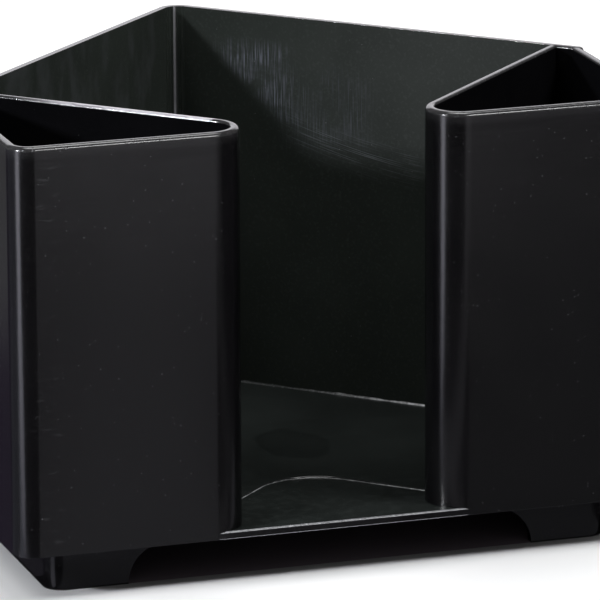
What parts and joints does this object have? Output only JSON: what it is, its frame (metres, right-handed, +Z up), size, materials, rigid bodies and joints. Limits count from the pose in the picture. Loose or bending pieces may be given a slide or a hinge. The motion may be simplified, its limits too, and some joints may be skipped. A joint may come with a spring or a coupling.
{
  "type": "bar caddy",
  "caption": "Free-standing black caddy with a square napkin bay open at its front corner, between three-sided straw columns on an inset plinth with a front arch.",
  "frame": {"origin": "on the table, under the middle of the caddy's outer box", "axes": "+X to the right as seen from the open front, +Y to the rear ridge, +Z up"},
  "size_m": [0.2032, 0.1722, 0.1393],
  "materials": {
    "wall_sheet": "glossy black, lightly scuffed inside the bay",
    "floor_sheet": "glossy black with faint smudges",
    "skirt_sheet": "satin black"
  },
  "bodies": {
    "root": {"rear_wall": "wall_sheet", "left_column_wall": "wall_sheet", "right_column_wall": "wall_sheet", "bay_floor": "floor_sheet", "left_column_floor": "floor_sheet", "right_column_floor": "floor_sheet", "napkin_riser": "floor_sheet", "base_skirt": "skirt_sheet"}
  },
  "joints": []
}
